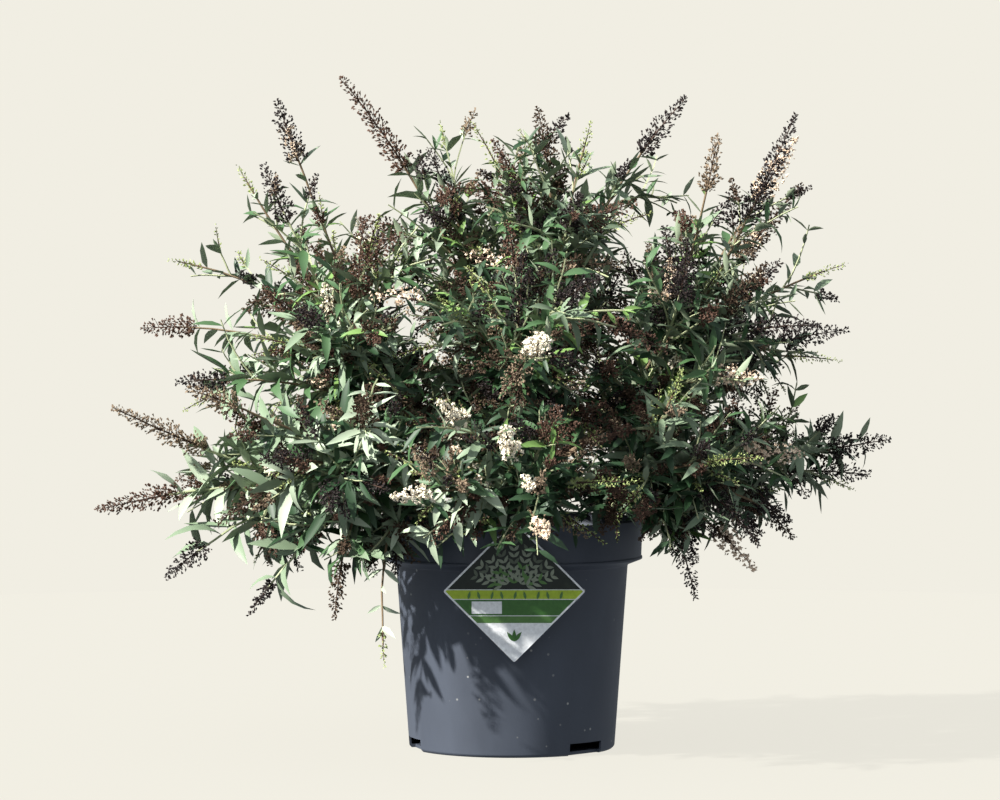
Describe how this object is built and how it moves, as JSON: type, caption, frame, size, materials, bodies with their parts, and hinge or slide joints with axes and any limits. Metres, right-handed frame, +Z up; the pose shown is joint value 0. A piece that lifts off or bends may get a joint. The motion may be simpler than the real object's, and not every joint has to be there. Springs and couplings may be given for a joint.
{
  "type": "potted butterfly bush",
  "caption": "Bushy flowering shrub with arching shoots, long leaves and spent flower spikes, standing in a round nursery pot with a hanging label.",
  "frame": {"origin": "centre of the pot's flat underside", "axes": "+Z up; -Y is the front, where the label hangs; +X is the right as seen from the front"},
  "size_m": [0.8428, 0.7543, 0.7171],
  "materials": {
    "pot": "matte anthracite with dust specks",
    "compost": "crumbly and moist",
    "label": "printed, half gloss",
    "bark": "rough, finely fissured",
    "foliage": "dull, silvery under the leaves"
  },
  "bodies": {
    "root": {"pot": "pot", "soil": "compost", "label": "label", "stem": "bark", "bough_low_front": "bark", "bough_low_front_right": "bark", "bough_low_right": "bark", "bough_low_back_right": "bark", "bough_low_back": "bark", "bough_low_back_left": "bark", "bough_low_left": "bark", "bough_low_front_left": "bark", "bough_middle_front": "bark", "bough_middle_front_right": "bark", "bough_middle_back_right": "bark", "bough_middle_back": "bark", "bough_middle_back_left": "bark", "bough_middle_front_left": "bark", "bough_top_front_right": "bark", "bough_top_back_left": "bark", "foliage_low_front": "foliage", "foliage_low_front_right": "foliage", "foliage_low_right": "foliage", "foliage_low_back_right": "foliage", "foliage_low_back": "foliage", "foliage_low_back_left": "foliage", "foliage_low_left": "foliage", "foliage_low_front_left": "foliage", "foliage_middle_front": "foliage", "foliage_middle_front_right": "foliage", "foliage_middle_back_right": "foliage", "foliage_middle_back": "foliage", "foliage_middle_back_left": "foliage", "foliage_middle_front_left": "foliage", "foliage_top_front_right": "foliage", "foliage_top_back_left": "foliage"}
  },
  "joints": []
}
